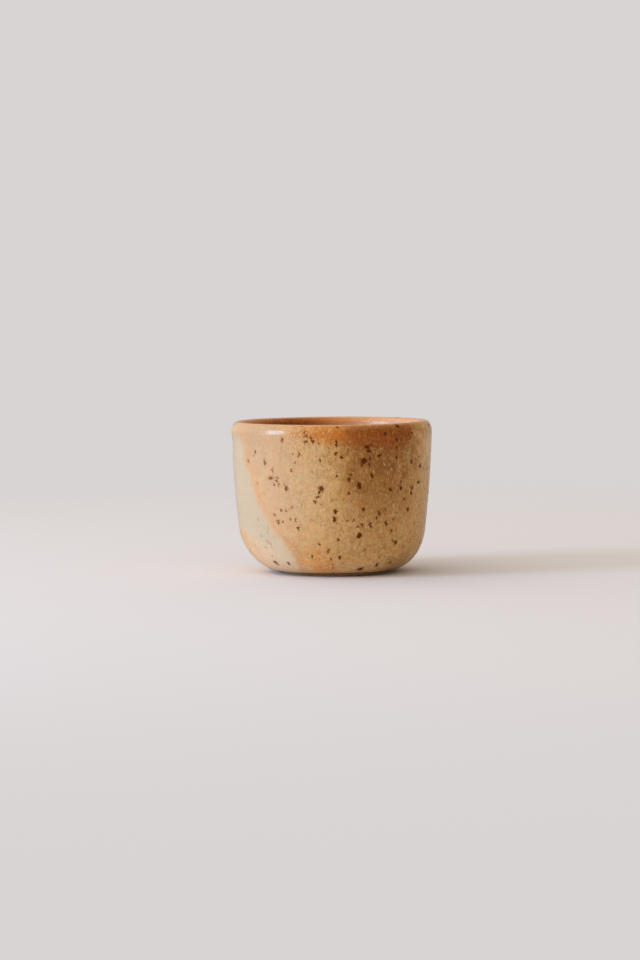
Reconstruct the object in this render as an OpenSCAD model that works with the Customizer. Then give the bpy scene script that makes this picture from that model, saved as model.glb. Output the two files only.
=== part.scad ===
// Small handleless coffee cup in glazed stoneware.
// The clay is one thrown pot with a low foot ring. Two coats of glaze lie on it and meet on
// the crest of the lip: the outside coat stops short of the foot, the liner pools on the floor.
// Millimetres. +Z is up, and the origin is on the table at the middle of the foot.

/* [Cup] */
// Height of the clay from the table to the crest of the lip
clay_h = 44.95; // [40:0.05:54]
// Diameter of the clay at the fullest part of the lip
lip_d = 59.3; // [56:0.1:66]
// Diameter of the clay where the wall turns in to the belly
waist_d = 55.1; // [52:0.1:60]
// Height of the turn between wall and belly
turn_h = 13.2; // [11:0.1:18]
// How far the wall bows out between the turn and the lip
wall_bow = 0.3; // [0:0.05:0.5]

/* [Wall] */
// Thickness of the clay under the lip
lip_wall_t = 3.4; // [2.6:0.1:4.2]
// Thickness of the clay at the turn
low_wall_t = 4; // [3:0.1:5]
// Thickness of the clay between the hollow of the foot and the floor inside
floor_t = 3.8; // [3:0.1:6]
// Diameter of the floor inside before it curves up into the wall
floor_d = 24; // [16:0.5:32]
// How far the middle of the floor is dished
floor_dish = 0.35; // [0:0.05:0.8]

/* [Lip] */
// How far the crest lies inside the fullest part of the lip
crest_inset = 1.55; // [1.2:0.05:2.2]
// Depth below the crest at which the outside starts to round over
lip_out_h = 3.25; // [2.5:0.05:5]
// Depth below the crest at which the inside starts to round over
lip_in_h = 1.4; // [1.2:0.05:4]

/* [Foot] */
// Outside diameter of the foot ring
foot_d = 31; // [26:0.2:36]
// Height of the foot ring under the belly
foot_h = 0.7; // [0.6:0.05:1.2]
// Width of the foot ring
foot_ring_w = 4.2; // [2.5:0.1:6]
// Depth of the hollow inside the foot ring
foot_hollow_h = 0.7; // [0.6:0.05:1.2]
// Rounding of the edges of the foot ring
foot_edge_r = 0.3; // [0.1:0.05:0.3]

/* [Throwing rings] */
// Depth of the finger rings inside the wall
ring_depth = 0.12; // [0:0.02:0.3]
// Distance from one finger ring to the next
ring_pitch = 3.6; // [2.5:0.1:6]

/* [Glaze] */
// Thickness of the coat on the outside
glaze_t = 0.35; // [0.2:0.05:0.6]
// Thickness left on the crest of the lip, where the glaze runs off
crest_glaze_t = 0.25; // [0.1:0.05:0.4]
// Height above the table at which the outside coat stops
glaze_line_h = 1.3; // [1.3:0.1:4]
// Length over which the coat rounds off at its lower edge
glaze_edge_w = 0.7; // [0.4:0.1:1.5]
// Thickness of the liner on the wall inside
liner_t = 0.35; // [0.2:0.05:0.6]
// Thickness of the liner where it has pooled on the floor
pool_t = 0.8; // [0.6:0.05:1.6]
// Height above the floor over which the liner thickens
pool_h = 5; // [2:0.5:9]

/* [Hidden] */

// How finely each stretch of the outline, and the turn about the axis, is divided
$fn = 144;
edge_steps = 5;
belly_steps = 22;
wall_steps = 12;
lip_steps = 12;
ring_steps = 8;
floor_steps = 8;

// Angles of a quarter turn and a half turn
quarter = 90;
half = 180;

// Outside of the clay
lip_r = lip_d / 2;
lip_z = clay_h - lip_out_h;
crest_r = lip_r - crest_inset;
waist_r = waist_d / 2;
foot_r = foot_d / 2;
foot_edge = min(foot_edge_r, foot_hollow_h / 2, foot_h / 2);
belly_r = foot_r + foot_edge;
hollow_r = foot_r - foot_ring_w;

// Inside of the clay, set in from the outside by the thickness of the wall
mouth_r = lip_r - lip_wall_t;
mouth_z = clay_h - lip_in_h;
well_r = waist_r - low_wall_t;
floor_r = floor_d / 2;
floor_z = foot_hollow_h + floor_t;

// Lean of the wall at its two ends and inside, as run outwards for each unit of rise
waist_lean = (lip_r - waist_r + 4 * wall_bow) / (lip_z - turn_h);
lip_lean = (lip_r - waist_r - 4 * wall_bow) / (lip_z - turn_h);
well_lean = (mouth_r - well_r) / (mouth_z - turn_h);

function ease(x) = let (k = min(max(x, 0), 1)) k * k * (3 - 2 * k);

function tail(list) = [for (i = [1:len(list) - 1]) list[i]];

// Items from one index to another, in either direction
function stretch(list, from, to) =
    [for (i = [0:abs(to - from)]) list[from + i * sign(to - from)]];

// Points on a quarter of an ellipse that leaves a towards corner c and reaches b from c
function rounded(a, c, b, steps, from = 0, to = quarter) = [
    for (i = [0:steps])
        let (t = from + (to - from) * i / steps)
        a + sin(t) * (c - a) + (1 - cos(t)) * (b - c)
];

// Underside of the foot: the hollow, then the ring, then up to the belly
foot_line = concat(
    [[0, foot_hollow_h]],
    rounded([hollow_r - foot_edge, foot_hollow_h], [hollow_r, foot_hollow_h],
            [hollow_r, foot_hollow_h - foot_edge], edge_steps),
    rounded([hollow_r, foot_edge], [hollow_r, 0], [hollow_r + foot_edge, 0], edge_steps),
    rounded([foot_r - foot_edge, 0], [foot_r, 0], [foot_r, foot_edge], edge_steps),
    rounded([foot_r, foot_h - foot_edge], [foot_r, foot_h], [belly_r, foot_h], edge_steps)
);

// Belly: a quarter ellipse from the foot to the turn. The coat starts part of the way along.
belly_from = [belly_r, foot_h];
belly_corner = [waist_r - waist_lean * (turn_h - foot_h), foot_h];
belly_to = [waist_r, turn_h];
coat_from = acos(1 - (glaze_line_h - foot_h) / (turn_h - foot_h));
coat_full = coat_from + glaze_edge_w / (belly_corner.x - belly_r) * half / PI;

bare_belly = rounded(belly_from, belly_corner, belly_to, edge_steps, 0, coat_from);
edge_belly = rounded(belly_from, belly_corner, belly_to, edge_steps, coat_from, coat_full);
full_belly = rounded(belly_from, belly_corner, belly_to, belly_steps, coat_full, quarter);

wall_line = [
    for (i = [1:wall_steps - 1])
        let (s = i / wall_steps)
        [waist_r + (lip_r - waist_r) * s + 4 * wall_bow * s * (1 - s),
         turn_h + (lip_z - turn_h) * s]
];
lip_out_line = rounded([lip_r, lip_z], [lip_r + lip_lean * lip_out_h, clay_h],
                       [crest_r, clay_h], lip_steps);
lip_in_line = rounded([crest_r, clay_h], [mouth_r + well_lean * lip_in_h, clay_h],
                      [mouth_r, mouth_z], lip_steps);

// Wall inside: whole finger rings, which fade out towards the lip and towards the floor
ring_count = max(1, round((mouth_z - turn_h) / ring_pitch));
well_line = [
    for (i = [1:ring_count * ring_steps - 1])
        let (
            s = i / (ring_count * ring_steps),
            depth = ring_depth * pow(sin(half * s) * sin(half * ring_count * s), 2)
        )
        [mouth_r + (well_r - mouth_r) * s + depth, mouth_z + (turn_h - mouth_z) * s]
];
well_turn_line = rounded([well_r, turn_h], [well_r - well_lean * (turn_h - floor_z), floor_z],
                         [floor_r, floor_z], belly_steps);
floor_line = [
    for (i = [1:floor_steps])
        let (s = i / floor_steps)
        [floor_r * (1 - s), floor_z - floor_dish * ease(s)]
];

// A station is [radius, height, thickness of the glaze there].
// The lower edge of the coat swells from nothing to full thickness as a rounded bead.
function beaded(points) = [
    for (i = [0:len(points) - 1])
        let (left = 1 - i / (len(points) - 1))
        [points[i].x, points[i].y, glaze_t * sqrt(1 - left * left)]
];
function coated(points) = [for (p = points) [p.x, p.y, glaze_t]];

// From t at the height start_z the coat thins towards the crest
function over_lip(points, t, start_z) = [
    for (p = points)
        [p.x, p.y, t + (crest_glaze_t - t) * ease((p.y - start_z) / (clay_h - start_z))]
];

// The liner thickens down towards the floor
function pooled(points) = [
    for (p = points)
        [p.x, p.y, liner_t + (pool_t - liner_t) * ease((floor_z + pool_h - p.y) / pool_h)]
];

outside = concat(
    beaded(edge_belly),
    coated(tail(full_belly)),
    coated(wall_line),
    over_lip(lip_out_line, glaze_t, lip_z)
);
inside = concat(
    over_lip(lip_in_line, liner_t, mouth_z),
    pooled(well_line),
    pooled(well_turn_line),
    pooled(floor_line)
);
stations = concat(outside, tail(inside));
crest = len(outside) - 1;
middle = len(stations) - 1;

// Direction square to the outline, away from the clay, and straight up on the axis
function outward(i) =
    let (run = stations[min(i + 1, middle)] - stations[max(i - 1, 0)])
    i == middle ? [0, 1] : [run.y, -run.x] / norm([run.x, run.y]);

clay_face = [for (s = stations) [s.x, s.y]];
glaze_face = [for (i = [0:middle]) clay_face[i] + stations[i].z * outward(i)];

// What the cup holds when it is full to the crest: the slices of the liner's face, as cones
slices = [
    for (i = [crest:middle - 1])
        let (p = glaze_face[i], q = glaze_face[i + 1])
        PI / 3 * (p.y - q.y) * (p.x * p.x + p.x * q.x + q.x * q.x)
];
echo(brimful_volume = slices * [for (v = slices) 1]);

module clay_body() {
    color("#b98b5e")
        rotate_extrude()
            polygon(concat(foot_line, tail(bare_belly), tail(clay_face)));
}

module outer_glaze() {
    color("#c9995f")
        rotate_extrude()
            polygon(concat(stretch(clay_face, 0, crest), stretch(glaze_face, crest, 1)));
}

module liner_glaze() {
    color("#a5622f")
        rotate_extrude()
            polygon(concat(stretch(clay_face, crest, middle), stretch(glaze_face, middle, crest)));
}

clay_body();
outer_glaze();
liner_glaze();
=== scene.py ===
# %% [markdown]
# # A speckled stoneware coffee cup
# This is a small thrown cup without a handle, about 60 mm across. It is one fired pot with two
# coats of glaze: an oatmeal coat with iron spots outside, and a rust-coloured liner inside.
# The solid model gives the sizes, and this lesson gives the pot its surfaces. We load that
# model first, and keep its box to measure our own pieces against.

# %% Load the solid model
from math import acos, atan2, cos, degrees, exp, pi, radians, sin, sqrt, tau

import bmesh
import bpy
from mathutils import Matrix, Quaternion, Vector, noise


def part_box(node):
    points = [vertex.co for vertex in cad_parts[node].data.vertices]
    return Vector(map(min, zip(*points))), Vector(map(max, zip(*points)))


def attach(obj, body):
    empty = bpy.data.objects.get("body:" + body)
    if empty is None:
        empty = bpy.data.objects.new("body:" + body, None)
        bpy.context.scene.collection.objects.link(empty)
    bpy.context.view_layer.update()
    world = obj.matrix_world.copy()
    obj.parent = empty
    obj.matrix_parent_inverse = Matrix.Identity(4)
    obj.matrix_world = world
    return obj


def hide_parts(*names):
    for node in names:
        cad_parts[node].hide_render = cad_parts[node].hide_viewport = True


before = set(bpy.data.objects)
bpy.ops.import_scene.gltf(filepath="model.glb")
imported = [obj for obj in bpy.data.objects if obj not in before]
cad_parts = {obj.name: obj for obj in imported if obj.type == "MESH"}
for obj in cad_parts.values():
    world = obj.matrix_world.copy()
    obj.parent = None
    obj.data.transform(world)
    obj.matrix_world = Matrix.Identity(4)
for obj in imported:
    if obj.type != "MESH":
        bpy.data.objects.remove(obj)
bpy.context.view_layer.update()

# %% [markdown]
# ## Sizes
# Potters think in millimetres, so every size here is in millimetres and is turned into Blender's
# metres at the very end. The overall sizes are read from the solids. The rest repeat the sizes
# that the solids were built with, so that our finer surfaces lie exactly on theirs.

# %% Sizes of the cup
MM = 0.001


def reach(node):
    """Largest radius and height of a solid, in millimetres."""
    low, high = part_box(node)
    return high.x / MM, high.z / MM


glazed_r, brim_z = reach("outer_glaze")
clay_r, clay_h = reach("clay_body")

# Wall
waist_r = 27.55
turn_z = 13.2
wall_bow = 0.3
lip_r = 29.65
lip_wall_t = 3.4
low_wall_t = 4.0
mouth_r = lip_r - lip_wall_t
well_r = waist_r - low_wall_t
floor_r = 12.0
floor_dish = 0.35

# Lip
crest_inset = 1.55
lip_out_h = 3.25
lip_in_h = 1.4
crest_r = lip_r - crest_inset
lip_z = clay_h - lip_out_h
mouth_z = clay_h - lip_in_h

# Foot
foot_r = 15.5
foot_h = 0.7
foot_ring_w = 4.2
foot_hollow_h = 0.7
foot_edge_r = 0.3
floor_t = 3.8
floor_z = foot_hollow_h + floor_t

# Glaze
glaze_t = 0.35
crest_glaze_t = 0.25
glaze_line_z = 1.3
coat_edge_w = 0.7
pool_t = 0.8
pool_h = 5.0

# Finger rings inside
ring_depth = 0.12
ring_pitch = 3.6

print(f"cup: {2 * glazed_r:.2f} mm across and {brim_z:.2f} mm high")
print(f"clay: {2 * clay_r:.2f} mm across, drawn here as {2 * lip_r:.2f} mm")

# %% [markdown]
# ## Camera
# The cup is seen from almost a metre away through a long lens, from a little above the brim. A
# long lens keeps the rim's ellipse thin and the cup's sides upright. The whole picture leans by
# half a degree, so the camera is turned by that much about its own axis. Two helpers put a
# thing in the scene and point it, for the window too.

# %% Camera
camera_side = -3.55
camera_away = 900.0
camera_height = 84.77
aim_height = 27.37
camera_lean = radians(-0.45)
focal_length = 113.0


def put_in(name, data):
    """A new object in the scene."""
    thing = bpy.data.objects.new(name, data)
    bpy.context.scene.collection.objects.link(thing)
    return thing


def aim(thing, place, direction, lean=0.0):
    """Stands a camera or a lamp at a place and points it."""
    thing.location = place
    thing.rotation_mode = "QUATERNION"
    thing.rotation_quaternion = direction.to_track_quat("-Z", "Y") @ Quaternion((0, 0, 1), lean)


camera_place = Vector((camera_side, -camera_away, camera_height)) * MM
camera_target = Vector((camera_side, 0, aim_height)) * MM
long_lens = bpy.data.cameras.new("long_lens")
long_lens.lens = focal_length
camera = put_in("camera", long_lens)
aim(camera, camera_place, camera_target - camera_place, camera_lean)
bpy.context.scene.camera = camera
print(f"camera: {(camera_target - camera_place).length / MM:.0f} mm from the cup")

# %% [markdown]
# ## Helpers for shader nodes
# Every finish below is built from shader nodes in code, and a few short helpers keep that
# readable. One feeds a socket with a link or with a plain number, one adds a node and feeds its
# inputs in order, and the others do sums. The nodes are put in rows, to be read in the editor.

# %% Add nodes and do sums
ROW = 12
NODE_GAP = (220, 280)


def empty_tree(owner):
    """The node tree of a material or a world, emptied."""
    owner.use_nodes = True
    owner.node_tree.nodes.clear()
    return owner.node_tree


def feed(tree, socket, value):
    """Links a socket's value into the socket, or writes a plain value there."""
    if isinstance(value, bpy.types.NodeSocket):
        tree.links.new(value, socket)
    else:
        socket.default_value = value


def add(tree, kind, *values, **settings):
    """A new shader node with these settings and inputs, placed next in its row."""
    node = tree.nodes.new("ShaderNode" + kind)
    count = len(tree.nodes)
    node.location = (NODE_GAP[0] * (count % ROW), -NODE_GAP[1] * (count // ROW))
    for name, value in settings.items():
        setattr(node, name, value)
    for socket, value in zip(node.inputs, values):
        feed(tree, socket, value)
    return node


def calc(tree, operation, *values, clamp=False):
    """One sum on numbers."""
    return add(tree, "Math", *values, operation=operation, use_clamp=clamp).outputs[0]


def calc_vector(tree, operation, *values):
    """One sum on vectors. A length comes out as a number."""
    outputs = add(tree, "VectorMath", *values, operation=operation).outputs
    return outputs["Value" if operation == "LENGTH" else "Vector"]


def scaled(tree, value, factor, offset, clamp=False):
    """A number times a factor, plus an offset."""
    return calc(tree, "MULTIPLY_ADD", value, factor, offset, clamp=clamp)


def product(tree, first, *others):
    """Masks and numbers, multiplied."""
    for other in others:
        first = calc(tree, "MULTIPLY", first, other)
    return first


def without(tree, mask, share):
    """1 where the mask is 0, and less by that share where the mask is 1."""
    return scaled(tree, mask, -share, 1.0)


def split(tree, vector):
    """The three numbers of a vector."""
    return add(tree, "SeparateXYZ", vector).outputs


def on_sheet(tree, across, up):
    """Two numbers as one point of a flat sheet."""
    return add(tree, "CombineXYZ", across, up).outputs[0]


print("sums are ready")

# %% [markdown]
# ## Fades, tints and noise
# Three nodes do most of the drawing. Map Range fades a mask in or out, Mix lays one colour over
# another by a mask, and Noise gives soft lumps, here with their size in millimetres. Colours
# are written as they are read off a screen, from 0 to 255.

# %% Fade, tint and cloud
HALF = (0.5, 0.5, 0.5)


def fade(tree, value, start, end, low=0.0, high=1.0):
    """Goes smoothly from low to high while the value goes from start to end."""
    smooth = "SMOOTHSTEP"
    return add(tree, "MapRange", value, start, end, low, high, interpolation_type=smooth).outputs[0]


def tint(tree, under, over, *amounts, blend="MIX"):
    """Lays one colour over another by the product of the amounts."""
    node = add(tree, "Mix", data_type="RGBA", blend_type=blend)
    for index, value in ((0, product(tree, *amounts)), (6, under), (7, over)):
        feed(tree, node.inputs[index], value)
    return node.outputs[2]


def cloud(tree, place, size, detail=2.0, roughness=0.5, swirl=0.0, colour=False):
    """Soft noise around one half, with lumps of about that size in millimetres."""
    node = add(tree, "TexNoise")
    for name, value in (("Vector", place), ("Scale", 1 / size), ("Detail", detail),
                        ("Roughness", roughness), ("Distortion", swirl)):
        feed(tree, node.inputs[name], value)
    return node.outputs[1 if colour else 0]


def shaken(tree, point, reach, place, size, detail=2.0):
    """A point pushed about by noise, by half the reach each way at the most."""
    push = calc_vector(tree, "SUBTRACT", cloud(tree, place, size, detail, colour=True), HALF)
    return calc_vector(tree, "MULTIPLY_ADD", push, reach, point)


def srgb(red, green, blue):
    """A colour from the screen in the linear values that nodes want."""
    def linear(value):
        share = value / 255
        return share / 12.92 if share <= 0.04045 else ((share + 0.055) / 1.055) ** 2.4
    return (linear(red), linear(green), linear(blue), 1.0)


print("mid grey is", round(srgb(188, 188, 188)[0], 3))

# %% [markdown]
# ## Node groups
# An effect that several finishes share is a node group: a small tree with named inputs and
# outputs that is built once. These two helpers make one and place it in another tree.

# %% Make and use a node group
SOCKETS = {float: "NodeSocketFloat", tuple: "NodeSocketVector"}


def new_group(name, inputs, outputs):
    """An empty group. Inputs have start values, and outputs are float or tuple."""
    group = bpy.data.node_groups.new(name, "ShaderNodeTree")
    for label, start in inputs.items():
        socket = group.interface.new_socket(label, in_out="INPUT", socket_type=SOCKETS[type(start)])
        socket.default_value = start
    for label, kind in outputs.items():
        group.interface.new_socket(label, in_out="OUTPUT", socket_type=SOCKETS[kind])
    given = group.nodes.new("NodeGroupInput")
    result = group.nodes.new("NodeGroupOutput")
    result.location = (NODE_GAP[0] * (ROW + 1), 0)
    print(f"group: {name}, which gives {', '.join(outputs)}")
    return group, given.outputs, result.inputs


def use(tree, group, **values):
    """Places a group in a tree. An input's name has underscores for its spaces."""
    node = add(tree, "Group", node_tree=group)
    for name, value in values.items():
        feed(tree, node.inputs[name.replace("_", " ")], value)
    return node.outputs


print("group helpers are ready")

# %% [markdown]
# ## Light
# One window stands a metre to the left of the cup and a little in front of it, low and less
# than half a metre wide. It gives the small bright bar on the lip and the long soft shadow. Pale
# surroundings fill the rest. An area light is a good window, and the world is the fill.

# %% Window light
window_side = radians(-70.0)
window_rise = radians(17.0)
window_gap = 1.0
window_w = 0.38
window_h = 0.36
window_power = 5.7
window_colour = (0.66, 0.86, 1.22)
cup_middle = Vector((0, 0, 25)) * MM

toward_window = Vector((
    sin(window_side) * cos(window_rise),
    -cos(window_side) * cos(window_rise),
    sin(window_rise),
))
pane = bpy.data.lights.new("window", "AREA")
pane.shape = "RECTANGLE"
pane.size = window_w
pane.size_y = window_h
pane.energy = window_power
pane.color = window_colour
window = put_in("window", pane)
aim(window, cup_middle + toward_window * window_gap, -toward_window)
window.visible_camera = False
print(f"window: {degrees(window_side):.0f} degrees round, {degrees(window_rise):.0f} up")

# %% [markdown]
# ## Fill light and backdrop
# The world does three jobs, and Light Path tells them apart. As a lamp it is a soft fill, warmer
# than the window and brighter on the window's side. To the eye it is a plain pale backdrop.
# In the glaze's reflections it is a dimmer fill, so that the gloss doesn't veil the colours.
# That way the backdrop can be pale without lighting the cup too much.

# %% World
backdrop_colour = srgb(216, 212, 212)
fill_left = (1.25, 1.20, 1.13, 1.0)
fill_right = (0.46, 0.405, 0.345, 1.0)
glaze_sees_left = (0.75, 0.72, 0.68, 1.0)
glaze_sees_right = (0.276, 0.243, 0.207, 1.0)
fill_spread = 0.8


def seen_directly(tree):
    """1 for what the eye sees straight or through glass, and 0 for light that falls on things."""
    path = add(tree, "LightPath").outputs
    return calc(tree, "MAXIMUM", path["Is Camera Ray"], path["Is Transmission Ray"])


def seen_in_glaze(tree):
    """1 for what the glaze reflects."""
    return add(tree, "LightPath").outputs["Is Glossy Ray"]


def mixed(tree, amount, first, second):
    """The first shader where the amount is 0, and the second where it is 1."""
    return add(tree, "MixShader", amount, first.outputs[0], second.outputs[0]).outputs[0]


world = bpy.data.worlds.new("pale_surround")
bpy.context.scene.world = world
tree = empty_tree(world)
rightward = split(tree, add(tree, "TexCoord").outputs["Generated"])[0]
to_right = fade(tree, rightward, -fill_spread, fill_spread)
fill = add(tree, "Background", tint(tree, fill_left, fill_right, to_right))
in_glaze = seen_in_glaze(tree)
reflected = tint(tree, glaze_sees_left, glaze_sees_right, to_right)
backdrop = add(tree, "Background", tint(tree, backdrop_colour, reflected, in_glaze))
seen = calc(tree, "MAXIMUM", seen_directly(tree), in_glaze)
add(tree, "OutputWorld", mixed(tree, seen, fill, backdrop))
print("world: a pale backdrop and a warm fill from the left")

# %% [markdown]
# ## Floor
# The cup stands on a plain pale surface: a wide disc, a hair below the foot, so that the two
# never share a plane.

# %% Floor
floor_radius = 1.8
floor_gap = 0.02 * MM
floor_sides = 128

mesh = bpy.data.meshes.new("table")
bm = bmesh.new()
bmesh.ops.create_circle(bm, cap_ends=True, segments=floor_sides, radius=floor_radius)
bmesh.ops.translate(bm, verts=bm.verts, vec=(0, 0, -floor_gap))
bm.to_mesh(mesh)
bm.free()
table = put_in("table", mesh)
print(f"floor: a disc {2 * floor_radius:.1f} m across")

# %% [markdown]
# ## Paint of the floor
# Near the cup the floor is matt and takes the shadow. Further out it turns into the backdrop's
# colour, so that no edge shows behind the cup. In the glaze it is reflected a little darker.

# %% Material: floor
floor_colour = srgb(226, 221, 220)
floor_in_glaze = srgb(190, 184, 178)
matt_until = 0.13
backdrop_from = 0.5

paint = bpy.data.materials.new("pale_floor")
tree = empty_tree(paint)
away = calc_vector(tree, "LENGTH", add(tree, "TexCoord").outputs["Object"])
far_off = fade(tree, away, matt_until, backdrop_from)
matt = add(tree, "BsdfDiffuse", tint(tree, floor_colour, floor_in_glaze, seen_in_glaze(tree)))
flat = add(tree, "Emission", backdrop_colour)
turned = product(tree, far_off, seen_directly(tree))
add(tree, "OutputMaterial", mixed(tree, turned, matt, flat))
mesh.materials.append(paint)
print("material:", paint.name)

# %% [markdown]
# ## Outlines
# A thrown pot is a figure of revolution: a potter shapes one outline, and the wheel turns it.
# So we draw half of the cup's section as points (radius, height) and let a spin do the rest.
# Each bend is a quarter of an ellipse, which takes two ends and the corner that it cuts.

# %% Curves for an outline
def rounded(start, corner, end, steps, begin=0.0, stop=90.0):
    """Points on a quarter ellipse that leaves start towards the corner and reaches end from it."""
    start, corner, end = Vector(start), Vector(corner), Vector(end)
    points = []
    for step in range(steps + 1):
        turn = radians(begin + (stop - begin) * step / steps)
        points.append(start + sin(turn) * (corner - start) + (1 - cos(turn)) * (end - corner))
    return points


def ease(share):
    """Goes from 0 to 1 with a soft start and a soft end."""
    share = min(max(share, 0.0), 1.0)
    return share * share * (3 - 2 * share)


quarter_turn = rounded((1, 0), (1, 1), (0, 1), 4)
print("a quarter turn:", [tuple(round(value, 2) for value in point) for point in quarter_turn])

# %% [markdown]
# ## The clay's outline
# From the table up: a low foot ring with softened edges, a round belly, an almost upright wall,
# and a thick lip that rounds over more slowly outside than inside. Inside, the wall keeps the
# faint rings that the potter's finger leaves. Outside and inside are kept apart, because
# each carries its own coat of glaze.

# %% Outline of the clay
edge_steps = 5
bead_steps = 8
belly_steps = 40
wall_steps = 56
lip_steps = 20
turn_steps = 32
floor_steps = 12

hollow_r = foot_r - foot_ring_w
belly_r = foot_r + foot_edge_r
waist_lean = (lip_r - waist_r + 4 * wall_bow) / (lip_z - turn_z)
lip_lean = (lip_r - waist_r - 4 * wall_bow) / (lip_z - turn_z)
well_lean = (mouth_r - well_r) / (mouth_z - turn_z)

foot_line = (
    [Vector((0, foot_hollow_h))]
    + rounded((hollow_r - foot_edge_r, foot_hollow_h), (hollow_r, foot_hollow_h),
              (hollow_r, foot_hollow_h - foot_edge_r), edge_steps)
    + rounded((hollow_r, foot_edge_r), (hollow_r, 0), (hollow_r + foot_edge_r, 0), edge_steps)
    + rounded((foot_r - foot_edge_r, 0), (foot_r, 0), (foot_r, foot_edge_r), edge_steps)
    + rounded((foot_r, foot_h - foot_edge_r), (foot_r, foot_h), (belly_r, foot_h), edge_steps)
)

belly_bend = (
    (belly_r, foot_h),
    (waist_r - waist_lean * (turn_z - foot_h), foot_h),
    (waist_r, turn_z),
)
coat_turn = degrees(acos(1 - (glaze_line_z - foot_h) / (turn_z - foot_h)))
full_turn = coat_turn + degrees(coat_edge_w / (belly_bend[1][0] - belly_r))
bare_line = rounded(*belly_bend, bead_steps, 0, coat_turn)
edge_line = rounded(*belly_bend, bead_steps, coat_turn, full_turn)
belly_line = rounded(*belly_bend, belly_steps, full_turn, 90)


def straight(start, end, steps, swell):
    """Points between two ends, without them. swell(share) pushes each point outwards."""
    start, end = Vector(start), Vector(end)
    shares = [step / steps for step in range(1, steps)]
    return [start.lerp(end, share) + Vector((swell(share), 0)) for share in shares]


def bow(share):
    """How far the wall bows out between the turn and the lip."""
    return 4 * wall_bow * share * (1 - share)


def finger_ring(share):
    """Depth of the finger rings, which fade out towards the lip and the floor."""
    ring_count = round((mouth_z - turn_z) / ring_pitch)
    return ring_depth * (sin(pi * share) * sin(pi * ring_count * share)) ** 2


wall_line = straight((waist_r, turn_z), (lip_r, lip_z), wall_steps, bow)
lip_out_line = rounded((lip_r, lip_z), (lip_r + lip_lean * lip_out_h, clay_h),
                       (crest_r, clay_h), lip_steps)
lip_in_line = rounded((crest_r, clay_h), (mouth_r + well_lean * lip_in_h, clay_h),
                      (mouth_r, mouth_z), lip_steps)
well_line = straight((mouth_r, mouth_z), (well_r, turn_z), wall_steps, finger_ring)
well_turn_line = rounded((well_r, turn_z), (well_r - well_lean * (turn_z - floor_z), floor_z),
                         (floor_r, floor_z), turn_steps)
floor_line = [
    Vector((floor_r * (1 - share), floor_z - floor_dish * ease(share)))
    for share in [step / floor_steps for step in range(1, floor_steps + 1)]
]

outside_line = edge_line + belly_line[1:] + wall_line + lip_out_line
inside_line = lip_in_line + well_line + well_turn_line + floor_line
print(len(outside_line), "points outside and", len(inside_line), "inside")

# %% [markdown]
# ## The glaze's outline
# Glaze is a coat on the clay, so its outline is the clay's, pushed out by the coat's
# thickness. That thickness tells the story of the firing: glaze gathers in a rounded bead where
# it stops above the foot, runs thin over the crest of the lip, and pools on the floor inside.

# %% Outline of the glaze
def outside_coat(index, height):
    """Thickness of the coat at a point of the outside line."""
    if index < len(edge_line):
        left = 1 - index / (len(edge_line) - 1)
        return glaze_t * sqrt(1 - left * left)
    return glaze_t + (crest_glaze_t - glaze_t) * ease((height - lip_z) / (clay_h - lip_z))


def inside_coat(index, height):
    """Thickness of the coat at a point of the inside line."""
    if height > mouth_z:
        return glaze_t + (crest_glaze_t - glaze_t) * ease((height - mouth_z) / (clay_h - mouth_z))
    return glaze_t + (pool_t - glaze_t) * ease((floor_z + pool_h - height) / pool_h)


pot_line = outside_line + inside_line[1:]


def lifted(first, last, coat):
    """The pot's line between two points, lifted off the clay by the coat's thickness."""
    points = []
    for index in range(first, last + 1):
        here = pot_line[index]
        before = pot_line[max(index - 1, 0)]
        after = pot_line[min(index + 1, len(pot_line) - 1)]
        run = after - before
        outward = Vector((run.y, -run.x)).normalized()
        if index == len(pot_line) - 1:
            outward = Vector((0, 1))
        points.append(here + coat(index - first, here.y) * outward)
    return points


crest = len(outside_line) - 1
outside_face = lifted(0, crest, outside_coat)
inside_face = lifted(crest, len(pot_line) - 1, inside_coat)
print(f"glaze reaches {max(point.x for point in outside_face):.2f} mm, solid {glazed_r:.2f} mm")
print(f"brim at {outside_face[-1].y:.2f} mm, solid {brim_z:.2f} mm")

# %% [markdown]
# ## What the hand leaves
# No thrown cup is perfectly round. The foot sits a little to one side, a shallow hollow lies
# under the lip on the left, faint spiral rings run up the outside, and the brim dips here and
# there. One function says how far each point moves, and all pieces use it, so that they stay
# seated on each other. Only the foot and the low belly move outwards, on one side, and the lip
# overhangs them, so the cup never outgrows its solid.

# %% Unevenness of the thrown pot
foot_shift = 0.75
foot_shift_h = 14.0
hollow_side = radians(-88.0)
hollow_spread = radians(40.0)
hollow_z = 38.2
hollow_h = 3.2
hollow_depth = 0.34
spiral_depth = 0.04
spiral_pitch = 3.1
spiral_start_z = 6.0
spiral_rise = 6.0
spiral_end = 5.0
brim_dip = 0.12
brim_lumps = 1.3
brim_start_z = 36.0
brim_rise = 8.0
trim = 0.01


def bell(distance, width):
    """1 at no distance, fading to nothing past about twice the width."""
    return exp(-(distance / width) ** 2)


def around(side, other):
    """The angle between two directions, the short way round."""
    return abs((side - other + pi) % tau - pi)


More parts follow.
